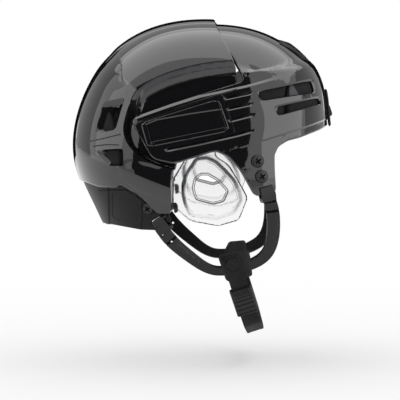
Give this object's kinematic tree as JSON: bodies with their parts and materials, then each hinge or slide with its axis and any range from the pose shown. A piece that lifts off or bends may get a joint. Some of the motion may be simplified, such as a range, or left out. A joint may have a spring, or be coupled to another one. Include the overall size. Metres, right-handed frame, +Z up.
{
  "type": "ice hockey helmet",
  "caption": "Two-part ice hockey helmet with sliding size adjustment, side latches, clear ear guards, harness loops, foam liner and a snap chin strap with a slider buckle.",
  "frame": {"origin": "midpoint of the line between the two ear openings, where the head form's reference plane crosses the helmet's middle plane", "axes": "+X to the front of the helmet, +Y to the wearer's left, +Z up to the crown"},
  "size_m": [0.2513, 0.2096, 0.3047],
  "materials": {
    "shell_gloss_black": "polished moulded shell",
    "trim_black": "satin",
    "steel": "zinc plated",
    "screw_black": "black coated",
    "guard_clear": "clear",
    "loop_black": "soft moulded",
    "sleeve_fabric": "brushed loop pile",
    "webbing_black": "woven",
    "foam_black": "closed-cell foam"
  },
  "bodies": {
    "front_half": {"front_shell": "shell_gloss_black", "crown_vent_insert": "trim_black", "brow_plate": "trim_black", "brow_button": "trim_black", "latch_pin_left": "steel", "latch_pin_right": "steel", "guide_stud_left": "steel", "guide_stud_right": "steel", "guide_nut_left": "steel", "guide_nut_right": "steel", "temple_screws_left": "screw_black", "temple_screws_right": "screw_black", "temple_nuts_left": "steel", "temple_nuts_right": "steel", "ear_guard_left": "guard_clear", "ear_guard_right": "guard_clear", "guard_rivets_left": "steel", "guard_rivets_right": "steel", "guard_clip_left": "trim_black", "guard_clip_right": "trim_black", "front_loop_left": "loop_black", "front_loop_right": "loop_black", "temple_pad_left": "foam_black", "temple_pad_right": "foam_black", "strap_sleeve_right": "sleeve_fabric", "snap_socket": "steel", "crown_pad_front": "foam_black", "brow_pad": "foam_black"},
    "rear_half": {"rear_shell": "shell_gloss_black", "nape_panel": "trim_black", "adjust_rack_left": "trim_black", "adjust_rack_right": "trim_black", "rear_screw_left": "screw_black", "rear_screw_right": "screw_black", "rear_nut_left": "steel", "rear_nut_right": "steel", "rear_loop_left": "loop_black", "rear_loop_right": "loop_black", "side_pad_left": "foam_black", "side_pad_right": "foam_black", "crown_pad_rear": "foam_black", "back_pad": "foam_black", "nape_pad": "foam_black"},
    "latch_left_body": {"side_latch_left": "shell_gloss_black"},
    "latch_right_body": {"side_latch_right": "shell_gloss_black"},
    "chin_strap_body": {"chin_strap": "webbing_black", "strap_sleeve_left": "sleeve_fabric", "snap_stud": "steel"},
    "buckle_body": {"strap_buckle": "trim_black"}
  },
  "joints": [
    {"name": "size_slide", "type": "slide", "parent": "front_half", "child": "rear_half", "axis": [-1, 0, 0], "range_m": [0, 0.012]},
    {"name": "latch_left_hinge", "type": "hinge", "parent": "front_half", "child": "latch_left_body", "pos_m": [0.02181, 0.09125, 0.08955], "axis": [0.3325, 0.2259, -0.9157], "range_deg": [0, 70]},
    {"name": "latch_right_hinge", "type": "hinge", "parent": "front_half", "child": "latch_right_body", "pos_m": [0.02181, -0.09125, 0.08955], "axis": [-0.3325, 0.2259, 0.9157], "range_deg": [0, 70]},
    {"name": "chin_strap_swing", "type": "hinge", "parent": "front_half", "child": "chin_strap_body", "pos_m": [0.03489, 0.077, -0.0722], "axis": [1, 0, 0], "range_deg": [0, 60]},
    {"name": "buckle_slide", "type": "slide", "parent": "chin_strap_body", "child": "buckle_body", "axis": [0.2788, 0.4102, -0.8683], "range_m": [-0.0015, 0.005]}
  ]
}
